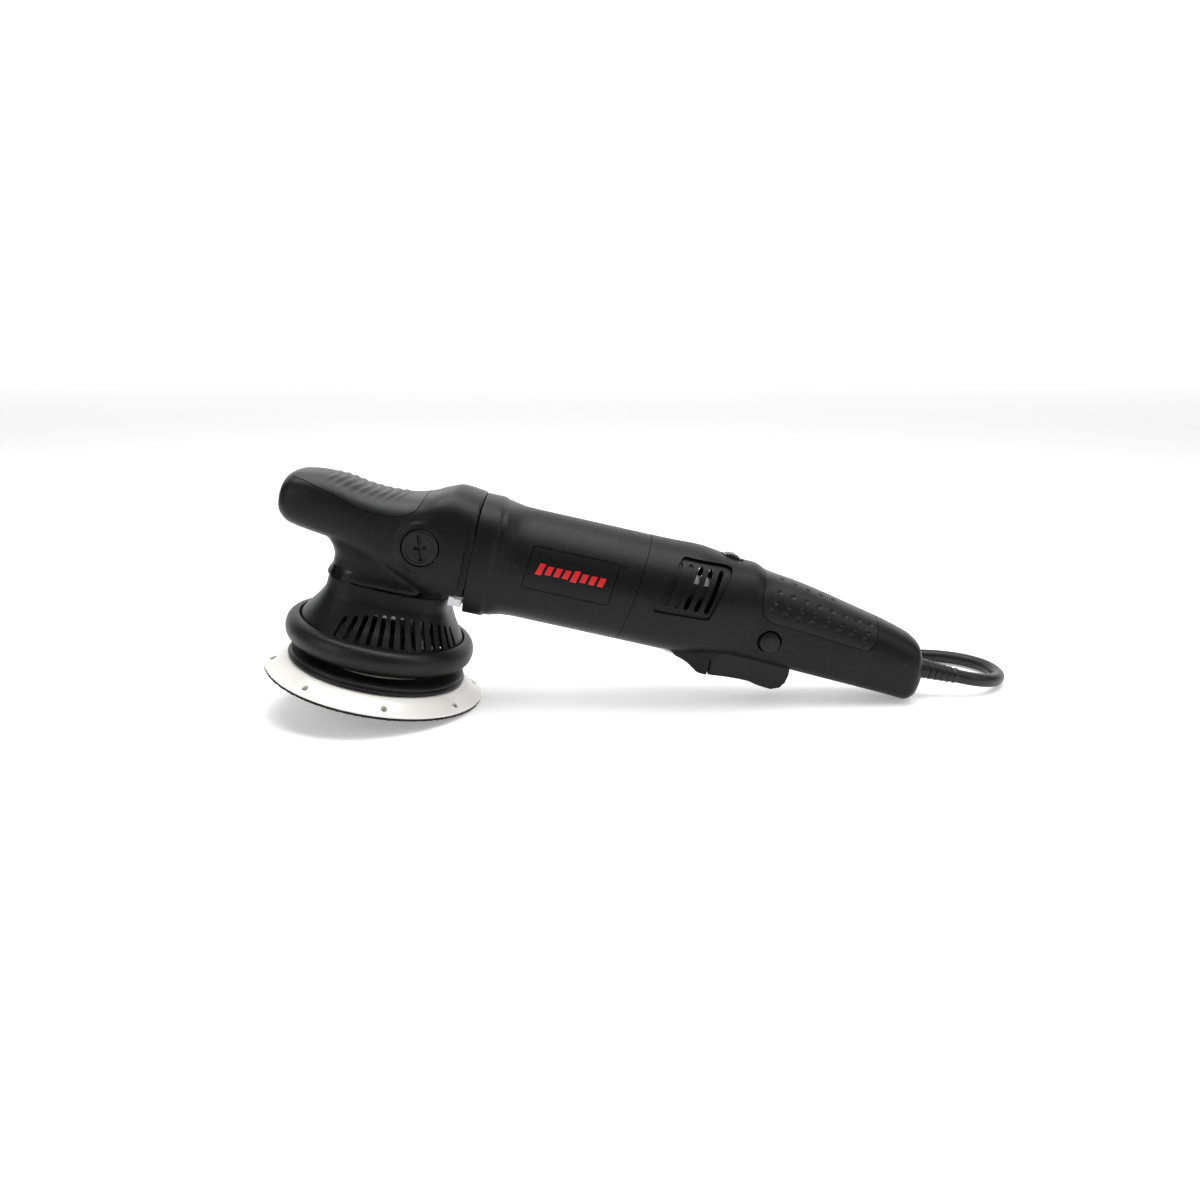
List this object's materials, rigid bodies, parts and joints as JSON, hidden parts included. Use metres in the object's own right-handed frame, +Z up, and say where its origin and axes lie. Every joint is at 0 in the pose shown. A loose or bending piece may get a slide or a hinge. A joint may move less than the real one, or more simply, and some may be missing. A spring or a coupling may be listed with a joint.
{
  "type": "dual action polisher",
  "caption": "Mains dual action polisher with a palm-grip gear head, an eccentric hook-faced backing plate, a round motor housing, a clamshell rear handle and its cord wound up beside it.",
  "frame": {"origin": "on the ground below the middle of the tool (without its cord): the tool rests on the rear edge of its hook face and on its tail", "axes": "+X from the gear head to the cord end, +Y towards the tool's left side, +Z up"},
  "size_m": [0.4381, 0.2527, 0.1341],
  "materials": {
    "black_plastic": "fine-grained black glass-filled nylon, lightly satin",
    "dark_plastic": "smooth black plastic",
    "soft_rubber": "black over-moulded rubber, matte",
    "cord_rubber": "black cord rubber, slightly shiny",
    "die_cast": "silver die-cast aluminium",
    "steel": "ground steel",
    "dark_steel": "blackened steel",
    "copper": "lacquered copper winding",
    "brass": "pressed brass",
    "carbon": "pressed carbon, dull grey",
    "white_gloss": "glossy ivory-white moulded urethane",
    "hook_pile": "black hook pile",
    "red_mark": "red print on black"
  },
  "bodies": {
    "housing": {"palm_grip": "soft_rubber", "bumper_ring": "soft_rubber", "rear_grip": "soft_rubber", "cord_tie": "soft_rubber", "rear_bearing": "steel", "front_bearing": "steel", "spindle_bearing": "steel", "brush_spring_right": "steel", "brush_spring_left": "steel", "trigger_spring": "steel", "lock_spring": "steel", "stator_core": "dark_steel", "handle_screw_1": "dark_steel", "handle_screw_2": "dark_steel", "handle_screw_3": "dark_steel", "handle_screw_4": "dark_steel", "gear_housing": "die_cast", "field_coil_top": "copper", "field_coil_bottom": "copper", "upper_bush": "brass", "brush_holder_right": "brass", "brush_holder_left": "brass", "carbon_brush_right": "carbon", "carbon_brush_left": "carbon", "air_baffle": "dark_plastic", "side_plug_right": "dark_plastic", "side_plug_left": "dark_plastic", "switch_body": "dark_plastic", "speed_module": "dark_plastic", "capacitor": "dark_plastic", "cord_clamp": "dark_plastic", "mains_plug": "dark_plastic", "rear_bracket": "black_plastic", "head_cover": "black_plastic", "skirt": "black_plastic", "motor_housing": "black_plastic", "handle_right": "black_plastic", "handle_left": "black_plastic", "badge_right": "red_mark", "badge_left": "red_mark", "strain_relief": "cord_rubber", "power_cord": "cord_rubber", "cord_coil": "cord_rubber"},
    "armature": {"armature_shaft": "steel", "armature_core": "dark_steel", "commutator": "copper", "cooling_fan": "dark_plastic", "pinion": "steel"},
    "orbit": {"orbit_crank": "dark_steel", "crank_bearing": "steel", "counterweight": "dark_steel", "bevel_gear": "steel"},
    "plate": {"plate_spindle": "steel", "backing_plate": "white_gloss", "hook_face": "hook_pile", "plate_collar": "soft_rubber", "plate_bolt": "dark_steel"},
    "trigger": {"trigger": "dark_plastic"},
    "lock": {"lock_button": "dark_plastic"},
    "dial": {"speed_dial": "dark_plastic"}
  },
  "joints": [
    {"name": "orbit_spin", "type": "hinge", "parent": "housing", "child": "orbit", "pos_m": [-0.12309, 0.00728, 0.09653], "axis": [0.2228, 0, 0.9749], "continuous": true},
    {"name": "armature_spin", "type": "hinge", "parent": "housing", "child": "armature", "pos_m": [-0.03535, 0.00728, 0.07647], "axis": [0.9749, 0, -0.2228], "continuous": true},
    {"name": "plate_spin", "type": "hinge", "parent": "orbit", "child": "plate", "pos_m": [-0.13792, 0, 0.0235], "axis": [0.2228, 0, 0.9749], "continuous": true},
    {"name": "trigger_pull", "type": "hinge", "parent": "housing", "child": "trigger", "pos_m": [0.0594, 0.00728, 0.02876], "axis": [0, -1, 0], "range_deg": [0, 8], "stiffness_Nm_per_rad": 1, "springref_deg": -8.59, "deforming": ["trigger_spring"]},
    {"name": "lock_press", "type": "slide", "parent": "housing", "child": "lock", "axis": [0, 1, 0], "range_m": [0, 0.004], "stiffness_N_per_m": 400, "springref_m": -0.002},
    {"name": "dial_turn", "type": "hinge", "parent": "housing", "child": "dial", "pos_m": [0.06353, 0.00728, 0.07736], "axis": [0, 1, 0], "range_deg": [0, 290]}
  ],
  "couplings": [
    {"joint": "armature_spin", "follows": "orbit_spin", "ratio": 4}
  ]
}
